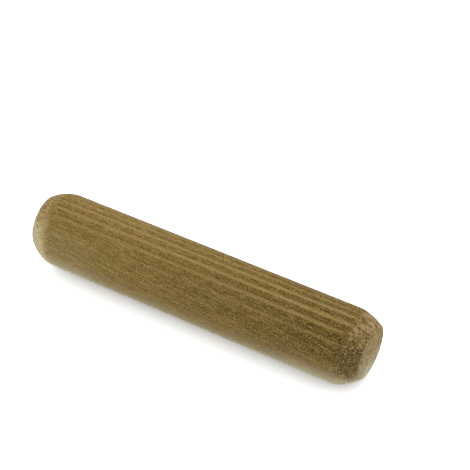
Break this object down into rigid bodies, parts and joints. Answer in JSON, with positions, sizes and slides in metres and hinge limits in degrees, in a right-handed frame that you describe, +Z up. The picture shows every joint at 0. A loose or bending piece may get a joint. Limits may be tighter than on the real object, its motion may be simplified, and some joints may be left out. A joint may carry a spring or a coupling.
{
  "type": "dowel pin",
  "caption": "Straight hardwood dowel pin with shallow flutes pressed along its side and a rounded nose and small flat face at each end.",
  "frame": {"origin": "on the surface that the pin lies on, under the middle of its length and of its width", "axes": "+X along the pin, towards the end with the dark smudge; +Z up; +Y completes the frame"},
  "size_m": [0.0382, 0.008, 0.0079],
  "materials": {
    "hardwood": "pressed flutes, unfinished and a little soiled"
  },
  "bodies": {
    "root": {"dowel_pin": "hardwood"}
  },
  "joints": []
}
